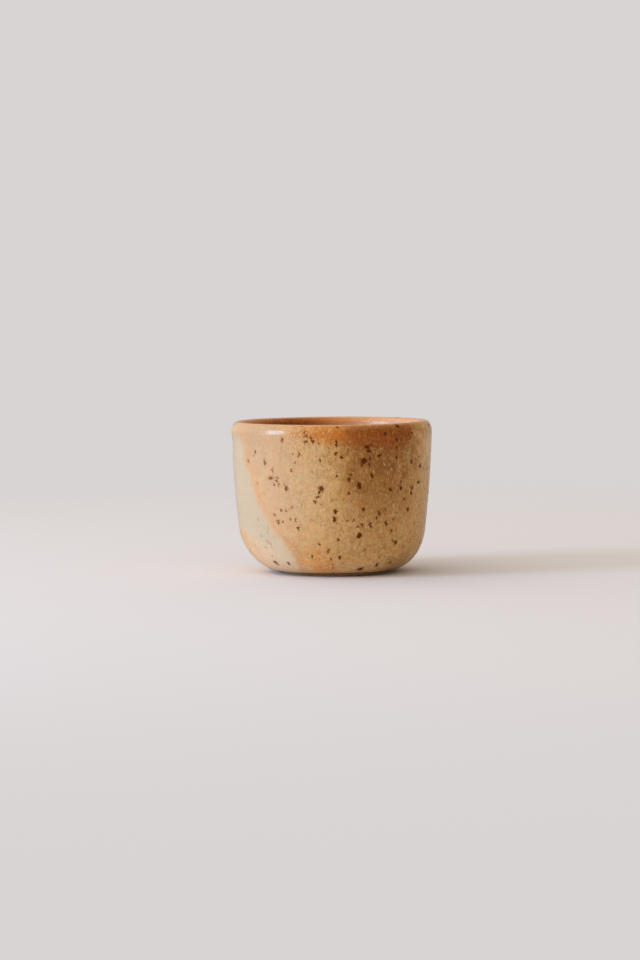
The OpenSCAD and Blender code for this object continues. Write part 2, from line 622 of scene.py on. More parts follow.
def hand_thrown(point):
    """Where the hand leaves a point of the perfect pot."""
    radius = Vector((point.x, point.y)).length
    height = point.z
    side = atan2(point.x, -point.y)
    beside = bell(around(side, hollow_side), hollow_spread)
    hollow = hollow_depth * beside * bell(height - hollow_z, hollow_h)
    turns = height / spiral_pitch + side / tau
    on_wall = ease((height - spiral_start_z) / spiral_rise) * ease((lip_z - height) / spiral_end)
    spiral = spiral_depth * sin(pi * turns) ** 2 * on_wall
    lumps = noise.noise(Vector((sin(side), cos(side), 0)) * brim_lumps)
    dip = brim_dip * (0.5 + lumps) * ease((height - brim_start_z) / brim_rise)
    shrink = (trim + hollow + spiral) * min(radius / well_r, 1)
    moved = point.copy()
    if radius > 0:
        moved.x -= shrink * point.x / radius
        moved.y -= shrink * point.y / radius
    moved.x += foot_shift * (1 - ease(height / foot_shift_h))
    moved.z -= max(dip, trim * ease((height - lip_z) / (clay_h - lip_z)))
    return moved


print("a point at the front of the lip moves to", tuple(hand_thrown(Vector((0, -glazed_r, lip_z)))))

# %% [markdown]
# ## Throwing the pieces
# The outline becomes a ring of vertices and edges, and one spin turns it about the cup's axis.
# A full spin makes its last copy on top of its first, so it is told to merge them. Points on the
# axis are merged after it, and the faces are then turned to look outwards. Edges sharper than
# about 40 degrees stay crisp, as where the two coats meet on the crest.

# %% Spin an outline into a piece
spin_steps = 160
crisp_angle = radians(40)
weld = 1e-4


def throw(name, outline):
    """Spins a closed outline of (radius, height) points into one closed piece."""
    bm = bmesh.new()
    ring = [bm.verts.new((point.x, 0, point.y)) for point in outline]
    for here, after in zip(ring, ring[1:] + ring[:1]):
        if here.co.x > 0 or after.co.x > 0:
            bm.edges.new((here, after))
    bmesh.ops.spin(bm, geom=bm.verts[:] + bm.edges[:], cent=(0, 0, 0), axis=(0, 0, 1),
                   angle=tau, steps=spin_steps, use_merge=True)
    bmesh.ops.remove_doubles(bm, verts=bm.verts, dist=weld)
    bmesh.ops.recalc_face_normals(bm, faces=bm.faces)
    for vert in bm.verts:
        vert.co = hand_thrown(vert.co)
    bmesh.ops.scale(bm, vec=(MM, MM, MM), verts=bm.verts)
    for face in bm.faces:
        face.smooth = True
    mesh = bpy.data.meshes.new(name)
    bm.to_mesh(mesh)
    bm.free()
    mesh.set_sharp_from_angle(angle=crisp_angle)
    piece = put_in(name, mesh)
    print(f"{name}: {len(mesh.polygons)} faces")
    return piece


# %% [markdown]
# ## The three pieces
# The clay is a closed pot. Each coat of glaze is a closed skin: its face, and the clay's
# own line back again. The side of a coat that lies on the clay is never seen, so it follows the
# same line, and nothing shows between the two.

# %% Clay and its two coats
thrown_clay = throw("thrown_clay", foot_line + bare_line[1:] + outside_line[1:] + inside_line[1:])
outside_glaze = throw("outside_glaze", outside_line + outside_face[:0:-1])
inside_glaze = throw("inside_glaze", inside_line + inside_face[::-1])

# %% [markdown]
# ## Places on the cup
# Every finish asks the same question first: where on the cup am I? This group answers in a
# potter's terms: the place in millimetres, the angle round the cup from the front, and the
# height above the table.

# %% Group: place on the cup
place_group, given, result = new_group(
    "Place on the cup", {}, {"Place": tuple, "Side": float, "Height": float})
tree = place_group
point = calc_vector(tree, "MULTIPLY", add(tree, "TexCoord").outputs["Object"], (1 / MM,) * 3)
across, backward, upward = split(tree, point)
side = calc(tree, "ARCTAN2", across, product(tree, backward, -1.0))
feed(tree, result["Place"], point)
feed(tree, result["Side"], calc(tree, "DEGREES", side))
feed(tree, result["Height"], upward)

# %% [markdown]
# ## Iron specks
# Grains of iron in the clay melt into the glaze as dark spots with a rusty halo. They lie
# anywhere, so a Voronoi texture scatters them: it has one point in each cell of a loose grid,
# and tells how far away that point is. Each speck gets its own size, and the place is
# shaken by noise first, so no speck is a clean circle.

# %% Group: scattered iron specks
speck_group, given, result = new_group(
    "Scattered iron specks",
    {"Place": (0.0, 0.0, 0.0), "Spacing": 2.0, "Smallest": 0.1, "Largest": 0.4, "Ragged": 0.3},
    {"Core": float, "Halo": float})
tree = speck_group
cells = add(tree, "TexVoronoi")
ragged_place = shaken(tree, given["Place"], given["Ragged"], given["Place"], 0.5)
feed(tree, cells.inputs["Vector"], ragged_place)
feed(tree, cells.inputs["Scale"], calc(tree, "DIVIDE", 1.0, given["Spacing"]))
distance = product(tree, cells.outputs["Distance"], given["Spacing"])
few_large = calc(tree, "POWER", split(tree, cells.outputs["Color"])[0], 3.0)
growth = calc(tree, "SUBTRACT", given["Largest"], given["Smallest"])
radius = scaled(tree, few_large, growth, given["Smallest"])
depth = calc(tree, "DIVIDE", distance, radius)
feed(tree, result["Core"], fade(tree, depth, 1.0, 0.6))
feed(tree, result["Halo"], fade(tree, depth, 1.9, 0.8))

# %% [markdown]
# ## Oatmeal grain
# Up close the glaze isn't one colour. It is a close mix of cream, ochre and brown grains, well
# under a millimetre and drawn out a little in height, as the glaze ran in the kiln. Between
# them lie softer patches of two or three millimetres. Each is a noise of its own size with
# some contrast, given as a mask, and each finish chooses its own colours for them.

# %% Group: oatmeal grain
grain_stretch = (1.0, 1.0, 0.6)
fleck_shift = (40.0, 0.0, 0.0)

grain_group, given, result = new_group(
    "Oatmeal grain",
    {"Place": (0.0, 0.0, 0.0), "Grain size": 0.8, "Patch size": 2.4},
    {"Grain": float, "Patch": float, "Fleck": float})
tree = grain_group
drawn_out = calc_vector(tree, "MULTIPLY", given["Place"], grain_stretch)
finer = calc_vector(tree, "DIVIDE", drawn_out, given["Grain size"])
softer = calc_vector(tree, "DIVIDE", given["Place"], given["Patch size"])
elsewhere = calc_vector(tree, "ADD", finer, fleck_shift)
grains = cloud(tree, finer, 1.0, 3.0, 0.75, swirl=0.8)
patches = cloud(tree, softer, 1.0, 2.0)
flecks = cloud(tree, elsewhere, 0.9, 3.0, 0.7, swirl=0.8)
feed(tree, result["Grain"], fade(tree, grains, 0.38, 0.62))
feed(tree, result["Patch"], fade(tree, patches, 0.35, 0.65))
feed(tree, result["Fleck"], fade(tree, flecks, 0.50, 0.68))

# %% [markdown]
# ## Soft patches
# Where two dips of glaze overlap, or a flame has licked the pot, the colour drifts over a patch
# a few millimetres wide. Some patches paint shade, light or a reflection instead, as marked where
# they are listed. This group is one such patch: a soft ellipse on the unrolled cup, given by its
# middle, its half width in degrees round the cup and its half height. The angle is wrapped, so a
# patch may cross the back.

# %% Group: soft patch
patch_group, given, result = new_group(
    "Soft patch",
    {"Side": 0.0, "Height": 0.0, "Middle side": 0.0, "Middle height": 0.0,
     "Half width": 10.0, "Half height": 5.0},
    {"Mask": float})
tree = patch_group
aside = calc(tree, "SUBTRACT", given["Side"], given["Middle side"])
across = calc(tree, "DIVIDE", calc(tree, "WRAP", aside, 180.0, -180.0), given["Half width"])
higher = calc(tree, "SUBTRACT", given["Height"], given["Middle height"])
upward = calc(tree, "DIVIDE", higher, given["Half height"])
from_middle = calc_vector(tree, "LENGTH", on_sheet(tree, across, upward))
feed(tree, result["Mask"], fade(tree, from_middle, 1.0, 0.25))


def soft_patch(tree, side, height, *ellipse):
    """The mask of one soft patch."""
    return add(tree, "Group", side, height, *ellipse, node_tree=patch_group).outputs["Mask"]


def patched(tree, colour, side, height, patches):
    """Lays soft patches over a colour, one after the other."""
    for shade, strength, *ellipse in patches:
        colour = tint(tree, colour, shade, soft_patch(tree, side, height, *ellipse), strength)
    return colour


# %% [markdown]
# ## A drawn curve
# Some edges wander in a way that no noise gives: how high the rust band reaches, or how the pale
# run drifts as it falls. For these a few given points are joined by a smooth
# curve. The Float Curve node works from 0 to 1, so the helper scales its ends.

# %% Curve through chosen points
def drawn(tree, value, points):
    """Follows chosen (input, output) points smoothly."""
    inputs, outputs = zip(*points)
    low_in, wide = min(inputs), max(inputs) - min(inputs)
    low_out, tall = min(outputs), max(outputs) - min(outputs)
    node = add(tree, "FloatCurve")
    curve = node.mapping.curves[0]
    while len(curve.points) < len(points):
        curve.points.new(0.5, 0.5)
    for slot, (given_in, given_out) in zip(curve.points, sorted(points)):
        slot.location = ((given_in - low_in) / wide, (given_out - low_out) / tall)
    node.mapping.update()
    share = calc(tree, "DIVIDE", calc(tree, "SUBTRACT", value, low_in), wide, clamp=True)
    feed(tree, node.inputs["Value"], share)
    return scaled(tree, node.outputs[0], tall, low_out)


print("drawn curves are ready")

# %% [markdown]
# ## Iron spots of the front
# The larger iron spots on the side that faces us were placed one by one: the angle
# round the cup in degrees, the height, and each spot's width in degrees and height in
# millimetres. Near the front, a degree is half a millimetre. Faint ones lie under the glaze.

# %% Chosen iron spots
DARK_SPOTS = [
    (-29, 40.8, 1.5, 1), (-49, 37.1, 1.3, 0.7), (-56, 34.2, 1.3, 0.8), (-41.6, 34, 1.4, 1.6),
    (-36, 32, 1.4, 1.1), (-37.5, 29.5, 3.2, 0.9), (-33, 29.7, 1.8, 0.5), (-33.5, 28.9, 2, 0.5),
    (-35.4, 27.8, 1, 0.6), (-32.3, 27.7, 1.3, 0.6), (-27.5, 26.6, 2, 1.3),
    (-28.1, 27.8, 0.9, 0.5), (-18.9, 36.8, 1.1, 1.2), (-22.6, 36.8, 0.8, 0.5),
    (-21.4, 34.3, 0.8, 0.5), (-23.8, 31.8, 1, 0.8), (-15.5, 42.9, 1.1, 0.8),
    (-14.3, 40.3, 1.7, 0.6), (-11.6, 41.4, 0.9, 1.4), (-10.7, 40.3, 1, 1.2),
    (-7.2, 39.7, 1, 0.8), (-6.7, 34.9, 0.8, 1), (2.5, 39.9, 1.5, 1.9), (2, 36.9, 1.4, 1),
    (5.4, 35.8, 2.3, 0.9), (19.8, 38.6, 3.2, 1.2), (20.7, 37.6, 1.9, 1.3), (18.2, 34.6, 3, 1.6),
    (16.8, 33.4, 1.3, 1), (22, 35.2, 1.2, 1), (21.6, 33.6, 1.5, 1.1), (27.5, 35.9, 1.5, 1.2),
    (10.4, 30.7, 1.6, 0.8), (9.5, 29.1, 1.6, 1.1), (22.8, 30.4, 1.2, 1), (23.5, 29.7, 1.2, 0.9),
    (15.3, 27.4, 2.9, 1.8), (-6.4, 26.7, 2.8, 1.3), (-7.5, 25.5, 1.3, 0.9),
    (-8.6, 24.2, 1.6, 0.8), (-10.1, 22.9, 1.5, 0.9), (9.5, 25.4, 1.2, 0.8),
    (2.3, 31.1, 0.8, 0.5), (2.5, 30.3, 0.8, 0.5), (31.2, 42.3, 1.3, 1.4), (39.2, 38, 1.7, 0.9),
    (39.6, 35.3, 1.3, 0.7), (43.7, 34.2, 1.5, 0.5), (51.9, 33.7, 2, 1.2),
    (61.4, 32.1, 2.3, 1.2), (60.4, 27.5, 3.3, 0.9), (35.5, 25.9, 1.5, 1.3),
    (43.5, 26.3, 2.3, 1.3), (43.5, 27.7, 0.8, 0.6), (31.2, 27.4, 1.1, 0.8),
    (53.8, 26.1, 1.8, 1), (53, 24.4, 2.2, 0.9), (47.2, 22.9, 1.4, 0.9), (50.7, 19.6, 1.9, 1.2),
    (18.5, 20.5, 1.6, 1), (1.7, 20, 1.7, 1.1), (0.9, 17.7, 2, 1.5), (28.4, 19, 1.2, 1.4),
    (27, 17.8, 1.5, 0.8), (8.6, 17.3, 1.3, 0.6), (12.8, 17.4, 1.2, 0.7), (33.5, 16.4, 1.7, 0.9),
    (34.3, 15.7, 0.9, 0.7), (23, 16.2, 1, 0.9), (23.5, 15.4, 0.9, 0.9), (18, 15.7, 1.2, 0.8),
    (37.7, 13.6, 1.2, 1.2), (16.4, 12.8, 2.8, 1.3), (3.3, 11.6, 1.1, 1.1),
    (42.3, 10.2, 2.5, 1.1), (39.9, 10.7, 1.4, 0.6), (-8.5, 10.3, 0.9, 0.6),
    (20.4, 8.4, 1.1, 0.7), (-2.3, 8.6, 1.1, 0.7), (-3.3, 8, 1.2, 0.9), (4.6, 6.3, 1.7, 0.9),
    (-1.2, 5.7, 1.3, 0.7), (-13.6, 6.5, 1.1, 0.8), (33.3, 3.6, 2.5, 1.1), (44.3, 4, 2.3, 0.6),
    (21.3, 2.4, 3.9, 1), (0.1, 2.7, 1.1, 0.6), (-46, 4.1, 2.9, 0.9), (-33.5, 4.2, 1.9, 0.8),
    (-20.6, 14.9, 1.2, 1.1), (-34, 16.9, 1.8, 0.8), (-34.2, 16.3, 0.9, 0.8),
    (-30.8, 16.8, 1.4, 0.6), (-31.6, 20.1, 1.4, 0.7), (-28, 20.1, 1.2, 0.5),
    (-24.3, 21.1, 1.4, 0.5), (-36.3, 18.7, 1.3, 0.6), (-25.8, 17.6, 0.9, 0.7),
    (-22.5, 17.5, 0.7, 0.9), (32.5, 5.9, 1.3, 0.7), (15, 15.5, 0.8, 0.6), (39.3, 17.1, 0.9, 0.7),
]
FAINT_SPOTS = [
    (-50.5, 35.8, 2, 1), (-48.3, 27.7, 1.9, 1), (-43.3, 25, 1.1, 0.6), (-47.8, 23.8, 1.1, 0.6),
    (-38.4, 23.6, 1, 0.6), (-50.2, 17.1, 1.4, 1.1), (-42.5, 14.6, 0.9, 1.9),
    (-42.5, 13.4, 1.1, 0.6), (-48.7, 12.3, 2, 0.6), (-44.1, 10.5, 2.3, 0.8),
    (-47.3, 8.9, 2.4, 0.7), (-45.4, 6.1, 1.8, 0.5), (56.8, 37.3, 2, 1), (47.2, 32.8, 1.6, 0.8),
    (65.8, 31.2, 2.6, 0.9), (48.5, 29.4, 1.5, 0.8), (58.3, 15.5, 3.2, 0.9), (52.3, 8, 2.4, 0.8),
    (33.2, 19.9, 1.2, 1.1), (41.3, 19, 1.5, 0.6), (26, 9.9, 1.8, 0.6), (-20.2, 11.6, 1, 0.8),
    (-6.5, 16.2, 1, 1.5), (6.5, 4.2, 2.2, 0.7), (-42, 9.8, 1.2, 2.6), (-44.5, 11.2, 1.8, 0.9),
    (40, 40.2, 1, 0.8), (30.3, 37.1, 1.1, 0.7), (12.9, 34.8, 1, 0.7), (11.6, 38.3, 1, 0.7),
    (-11, 31.5, 0.9, 0.6), (-16.7, 6, 1, 0.6),
]


def chosen_spots(tree, unrolled, spots):
    """How deep inside the nearest chosen spot a place lies: 1 is a spot's edge, 0 its middle."""
    nearest = None
    for side, height, width, tall in spots:
        fit = (2 / width, 2 / tall, 0.0)
        shift = (-side * fit[0], -height * fit[1], 0.0)
        away = calc_vector(tree, "LENGTH", calc_vector(tree, "MULTIPLY_ADD", unrolled, fit, shift))
        nearest = away if nearest is None else calc(tree, "MINIMUM", nearest, away)
    return nearest


print(len(DARK_SPOTS), "dark spots and", len(FAINT_SPOTS), "faint ones")

# %% [markdown]
# ## Gathering the chosen spots
# One group holds all of these spots. Each is an ellipse on the unrolled cup, and the nearest
# tells how deep inside a spot a place lies. Noise pushes the place about first, so that the
# spots come out ragged, and three masks are read from the depth.

# %% Group: chosen iron spots
ON_CUP = {"Place": (0.0, 0.0, 0.0), "Side": 0.0, "Height": 0.0}
spot_shake = (3.2, 1.6, 0.0)

chosen_group, given, result = new_group(
    "Chosen iron spots", ON_CUP, {"Core": float, "Halo": float, "Faint": float})
tree = chosen_group
unrolled = on_sheet(tree, given["Side"], given["Height"])
ragged_place = shaken(tree, unrolled, spot_shake, given["Place"], 0.7, 1.0)
dark_depth = chosen_spots(tree, ragged_place, DARK_SPOTS)
faint_depth = chosen_spots(tree, ragged_place, FAINT_SPOTS)
feed(tree, result["Core"], fade(tree, dark_depth, 1.3, 0.74))
feed(tree, result["Halo"], fade(tree, dark_depth, 2.3, 0.8))
feed(tree, result["Faint"], fade(tree, faint_depth, 1.5, 0.3))

# %% [markdown]
# ## The outside glaze
# The oatmeal glaze carries everything that the eye finds on this cup. The finish is built up as
# the potter built it: first the ground, which the two dips make pale, peach or orange, then the
# rust where the glaze runs thin at the lip, then its grain, and the iron spots last. Its colours
# and patches were chosen.

# %% Colours of the outside glaze
OATMEAL = srgb(218, 170, 106)
HONEY = srgb(188, 148, 82)
BLUSH = srgb(208, 148, 84)
UMBER = srgb(110, 60, 14)
DEEP_OCHRE = srgb(146, 86, 8)
CREAM = srgb(232, 204, 152)
STRAW = srgb(234, 196, 136)
PALE_RUN = srgb(195, 176, 149)
PALE_RUN_LOW = srgb(224, 200, 168)
PEACH = srgb(207, 169, 132)
PALE_PEACH = srgb(242, 210, 178)
TAN = srgb(189, 153, 121)
ORANGE = srgb(240, 160, 84)
AMBER = srgb(242, 197, 141)
FRINGE = srgb(214, 152, 98)
RED_BROWN = srgb(124, 68, 12)
RUST = srgb(150, 74, 8)
RUST_LIGHT = srgb(212, 126, 48)
CREST = srgb(216, 160, 108)
IRON = srgb(114, 58, 12)
IRON_HALO = srgb(150, 88, 34)

# Casts that the ground is multiplied by
OLIVE_CAST = (0.98, 1.03, 1.01, 1.0)
PINK_CAST = (1.02, 0.96, 0.90, 1.0)

# Soft patches: colour, strength, middle side and height, half width and half height
PATCHES = [
    (PEACH, 0.90, -46, 26, 44, 40),
    (TAN, 0.75, -58, 46, 36, 22),
    # Deep ochre on the right: partly the glaze's colour, partly painted shade on the side turned
    # from the window.
    (DEEP_OCHRE, 0.82, 29, 38, 42, 34),
    (RED_BROWN, 0.45, 32, 36, 22, 9),
    # Pale peach at the right edge: a painted reflection of the pale surroundings, seen at a grazing
    # angle.
    (PALE_PEACH, 0.72, 90, 42, 38, 20),
    # Umber low on the right: painted shade under the belly, on the side away from the window.
    (UMBER, 0.40, 54, 2, 24, 8),
    (CREAM, 0.22, -14, 25, 20, 15),
    (PALE_PEACH, 0.52, -48, 4, 40, 11),
    (TAN, 0.32, -20, 33, 27, 34),
    (PEACH, 0.25, 4, 14, 26, 12),
    (ORANGE, 0.60, -8, 3, 17, 7.5),
    (PEACH, 0.60, 118, 34, 26, 12),
    (ORANGE, 0.55, 150, 6, 22, 8),
    (TAN, 0.55, -170, 28, 52, 34),
    (RED_BROWN, 0.35, -150, 37, 34, 12),
    (CREAM, 0.45, -118, 22, 30, 16),
    (DEEP_OCHRE, 0.50, 100, 14, 30, 16),
]
print(len(PATCHES), "soft patches")

# %% [markdown]
# ## The pale run
# A second dip left a pale, smooth streak that falls across the left of the cup, almost free of
# specks, with an orange fringe on its right. Its two edges are drawn curves of the height, and
# noise makes them waver. A narrower, fainter run of the same kind slants across the back.

# %% Group: pale run
# Height above the table, and the angle of the run's edge there
RUN_RIGHT = [
    (0, -28), (5, -27), (8, -27.5), (11, -33), (15, -40), (18, -43), (23, -50), (26, -52.5),
    (30, -55.5), (33, -60), (40, -62), (44.5, -70),
]
RUN_LEFT = [
    (0, -40), (5, -44), (9, -51), (11, -60), (13.5, -74), (18, -98), (30, -100),
    (44.5, -104),
]
front_waver = 13.0
back_waver = 22.0
back_slant = 1.3

run_group, given, result = new_group("Pale run", ON_CUP, {"Run": float, "Fringe": float})
tree = run_group
side, height = given["Side"], given["Height"]
wobble = calc(tree, "SUBTRACT", cloud(tree, given["Place"], 2.2, 4.0, 0.65), 0.5)
front_side = scaled(tree, wobble, front_waver, side)
past_right = calc(tree, "SUBTRACT", front_side, drawn(tree, height, RUN_RIGHT))
past_left = calc(tree, "SUBTRACT", front_side, drawn(tree, height, RUN_LEFT))
front_run = product(
    tree,
    fade(tree, past_right, 5.0, -6.0),
    fade(tree, past_left, -16.0, 14.0),
    fade(tree, height, 43.0, 38.5, 0.1, 1.0),
    fade(tree, height, 1.0, 5.0, 0.5, 1.0))
slanted = scaled(tree, height, back_slant, side)
back_side = scaled(tree, wobble, back_waver, slanted)
back_run = product(
    tree, fade(tree, back_side, 146.0, 158.0), fade(tree, back_side, 180.0, 164.0, 0.0, 0.7))
feed(tree, result["Run"], calc(tree, "MAXIMUM", front_run, back_run))
fringe = product(tree, fade(tree, past_right, -1.0, 2.0), fade(tree, past_right, 9.0, 3.0))
feed(tree, result["Fringe"], fringe)

# %% [markdown]
# ## Rust on the lip
# Where glaze runs off an edge it is thin, and the iron in the clay burns through as rust. The
# band is strong at the right of the front and weak at the left. Its lower edge wanders, and it
# covers the glaze in broken grains that close up towards the crest.

# %% Group: rust on the lip
# Angle round the cup, and the band's lower edge, its strength and its depth of colour there
RUST_EDGE = [
    (-180, 41), (-130, 40), (-90, 42.4), (-60, 42.6), (-20, 40.8), (-6, 39.8), (8, 39.4),
    (14, 38.8), (30, 38.4), (48, 38.8), (58, 40.4), (74, 42.4), (100, 41.4), (140, 40.2),
    (180, 41),
]
RUST_STRENGTH = [
    (-180, 0.8), (-130, 0.9), (-90, 0.25), (-60, 0.15), (-40, 0.2), (-24, 0.45), (-12, 0.75),
    (0, 0.95), (22, 1), (42, 1), (52, 0.7), (60, 0.3), (100, 0.4), (140, 0.95), (180, 0.8),
]
RUST_DEPTH = [
    (-180, 0.5), (-130, 0.7), (-80, 0), (-14, 0), (0, 0.15), (8, 0.5), (18, 0.9), (48, 1),
    (56, 0.4), (90, 0.1), (140, 0.8), (180, 0.5),
]
edge_waver = 3.6
depth_waver = 2.0

lip_group, given, result = new_group("Rust on the lip", ON_CUP, {"Rust": float, "Deep": float})
tree = lip_group
place, side = given["Place"], given["Side"]
wobble = calc(tree, "SUBTRACT", cloud(tree, place, 1.6, 5.0, 0.8), 0.5)
wavy_height = scaled(tree, wobble, edge_waver, given["Height"])
above = calc(tree, "SUBTRACT", wavy_height, drawn(tree, side, RUST_EDGE))
cover = product(tree, fade(tree, above, -3.0, 2.2), drawn(tree, side, RUST_STRENGTH))
speckle = cloud(tree, place, 0.8, 3.0, 0.7, swirl=0.6)
bare_below = scaled(tree, cover, -0.5, 0.62)
rust_above = scaled(tree, cover, -0.5, 1.02)
deepness = drawn(tree, side, RUST_DEPTH)
feed(tree, result["Rust"], fade(tree, speckle, bare_below, rust_above))
feed(tree, result["Deep"], scaled(tree, wobble, depth_waver, deepness, clamp=True))

# %% [markdown]
# ## Starting a finish
# Each finish is a Principled shader of its own, whose colour, roughness and relief come from
# the groups above. These two helpers start one, and raise and lower its surface by some
# hundredths of a millimetre through a Bump node.

# %% Start a finish and give it relief
def new_finish(name, shine):
    """A material, its tree and Principled shader, and the place, side and height on the cup."""
    material = bpy.data.materials.new(name)
    tree = empty_tree(material)
    shader = add(tree, "BsdfPrincipled")
    feed(tree, shader.inputs["Specular IOR Level"], shine)
    add(tree, "OutputMaterial", shader.outputs[0])
    return material, tree, shader.inputs, *use(tree, place_group)


def add_relief(tree, surface, height, strength, depth):
    """Raises and lowers the surface by up to that depth, in millimetres."""
    bump = add(tree, "Bump")
    for name, value in (("Height", height), ("Strength", strength), ("Distance", depth * MM)):
        feed(tree, bump.inputs[name], value)
    feed(tree, surface["Normal"], bump.outputs[0])


print("finishes can be started")

# %% [markdown]
# ## Ground of the outside glaze
# The ground is oatmeal, turning to amber near the foot, which is partly the glaze's colour and
# partly painted light bounced up from the floor. The soft patches lie over it. Their places are
# pushed about by broad noise, so that no ellipse shows. Blush, honey and a cast between olive
# and pink break up the rest. The glaze is calmer on the left, under the second dip.

# %% Outside glaze: ground
patch_shake = (44.0, 18.0, 0.0)
calm = 0.75
blush_cover = 0.10
honey_cover = 0.10

oatmeal, tree, surface, place, side, height = new_finish("oatmeal_glaze", 0.26)
on_cup = {"Place": place, "Side": side, "Height": height}
grain = use(tree, grain_group, Place=place, Grain_size=0.8, Patch_size=2.4)
left_zone = soft_patch(tree, side, height, -68.0, 24.0, 84.0, 80.0)
calmer = without(tree, left_zone, calm)

wandering = shaken(tree, on_sheet(tree, side, height), patch_shake, place, 4.0, 3.0)
drift_side, drift_height = split(tree, wandering)[:2]
# Amber towards the foot: partly the glaze, partly painted light bounced up from the floor.
colour = tint(tree, OATMEAL, AMBER, fade(tree, height, 9.0, 1.5, 0.0, 0.85))
colour = patched(tree, colour, drift_side, drift_height, PATCHES)
warm = fade(tree, cloud(tree, place, 2.6, swirl=0.5), 0.42, 0.62)
colour = tint(tree, colour, BLUSH, warm, calmer, blush_cover)
colour = tint(tree, colour, HONEY, grain["Patch"], calmer, honey_cover)
pinker = fade(tree, cloud(tree, place, 3.0, 3.0, 0.6, swirl=0.6), 0.38, 0.62)
cast = tint(tree, OLIVE_CAST, PINK_CAST, pinker)
colour = tint(tree, colour, cast, calmer, blend="MULTIPLY")
print("ground:", len(tree.nodes), "nodes")

# %% [markdown]
# ## Rust and the pale run
# The rust goes over the ground, lighter or deeper as its group says and paler on the crest, where
# the glaze runs thin and light from above is painted in. The pale run then covers both, as the
# second dip did, and grows paler still towards the foot, partly as painted light bounced up from
# the floor.

# %% Outside glaze: rust and pale run
fringe_cover = 0.4
run_cover = 0.9

run = use(tree, run_group, **on_cup)
lip = use(tree, lip_group, **on_cup)
colour = tint(tree, colour, FRINGE, run["Fringe"], fringe_cover)
rust_colour = tint(tree, RUST_LIGHT, RUST, lip["Deep"])
# Paler rust on the crest: thin glaze, and painted light from above.
rust_colour = tint(tree, rust_colour, CREST, fade(tree, height, 43.2, 44.8, 0.0, 0.4))
colour = tint(tree, colour, rust_colour, lip["Rust"])
# Paler run towards the foot: partly the glaze, partly painted light bounced up from the floor.
run_colour = tint(tree, PALE_RUN, PALE_RUN_LOW, fade(tree, height, 14.0, 3.0))
colour = tint(tree, colour, run_colour, run["Run"], run_cover)
print("rust and run:", len(tree.nodes), "nodes")

# %% [markdown]
# ## Grain of the outside glaze
# Brown grains and paler flecks lie all over, stronger in some places than in others, and faint
# on the pale run. Rust hides most of the flecks. On the crest the glaze has run thin, to one
# even colour in which the grain still shows a little, and that colour is also paler as painted
# light falling on the crest from above.

# %% Outside glaze: grain
grain_cover = 0.38
fleck_cover = 0.46
grain_lost_in_run = 0.7
flecks_lost_in_rust = 0.7
grain_on_crest = 0.35

unequal = fade(tree, cloud(tree, place, 5.0, 1.0), 0.35, 0.65, 0.75, 1.2)
even = product(tree, calmer, unequal, without(tree, run["Run"], grain_lost_in_run))
off_rust = without(tree, lip["Rust"], flecks_lost_in_rust)
pale = tint(tree, STRAW, CREAM, left_zone)
colour = tint(tree, colour, UMBER, grain["Grain"], even, grain_cover)
colour = tint(tree, colour, pale, grain["Fleck"], even, off_rust, fleck_cover)
# The crest's even colour: thin glaze, and painted light from above.
thin = fade(tree, height, 44.5, 45.1)
colour = tint(tree, colour, CREST, thin, without(tree, grain["Grain"], grain_on_crest))
print("grain:", len(tree.nodes), "nodes")

# %% [markdown]
# ## Iron on the outside glaze
# The chosen spots make the front. Scattered specks take over at the sides and the back and in
# the rust, and the smallest lie nearly everywhere. Few show on the pale run, and on the left
# the iron lies deeper and looks fainter. Where it comes to the surface, the gloss breaks: the
# spot is rougher, and it shines a little like metal.

# %% Outside glaze: iron
halo_cover = 0.45
small_cover = 0.65
specks_lost_in_run = 0.85
iron_cover = 0.96
iron_lost_on_left = 0.34
gloss_roughness = 0.16
iron_roughness = 0.60
iron_metal = 0.85

chosen = use(tree, chosen_group, **on_cup)
medium = use(tree, speck_group, Place=place, Spacing=2.4, Smallest=0.18, Largest=0.8, Ragged=0.6)
fine = use(tree, speck_group, Place=place, Spacing=1.1, Smallest=0.09, Largest=0.34, Ragged=0.6)
unspecked = without(tree, run["Run"], specks_lost_in_run)
off_front = fade(tree, calc(tree, "ABSOLUTE", side), 66.0, 74.0)
scattered = product(tree, calc(tree, "MAXIMUM", off_front, lip["Rust"]), unspecked)
halo = calc(tree, "MAXIMUM", chosen["Halo"], product(tree, medium["Halo"], scattered))
core = calc(tree, "MAXIMUM", chosen["Core"], product(tree, medium["Core"], scattered))
small = product(tree, fine["Core"], unspecked, calmer, small_cover)
clear = scaled(tree, left_zone, -iron_lost_on_left, iron_cover)
colour = tint(tree, colour, IRON_HALO, halo, halo_cover)
colour = tint(tree, colour, IRON_HALO, chosen["Faint"], halo_cover)
colour = tint(tree, colour, IRON, calc(tree, "MAXIMUM", product(tree, core, clear), small))
feed(tree, surface["Base Color"], colour)

rougher = scaled(tree, core, iron_roughness - gloss_roughness, gloss_roughness)
feed(tree, surface["Roughness"], rougher)
feed(tree, surface["Metallic"], product(tree, core, iron_metal))
relief = scaled(tree, grain["Grain"], 0.3, product(tree, core, -0.4))
add_relief(tree, surface, relief, 0.25, 0.05)
print("material:", oatmeal.name, "with", len(tree.nodes), "nodes")

# %% [markdown]
# ## The liner glaze
# Inside, the same iron makes a rust-coloured glaze. It is lighter where it is thin, towards the
# crest, breaks into darker grains just under it, and is deep brown where it has pooled on the
# floor. Soft patches make it dark at the left of the back, partly as painted shade where the left
# wall hides the window, and pale at the right, partly as painted light with a painted reflection
# of the window. A last patch makes it a little lighter at the front.

# %% Material: liner glaze
LINER = srgb(202, 120, 42)
LINER_LIGHT = srgb(212, 146, 92)
LINER_PALE_AND_LIT = srgb(224, 178, 142)
LINER_DARK_AND_SHADE = srgb(136, 62, 4)
LINER_POOL = srgb(108, 50, 20)

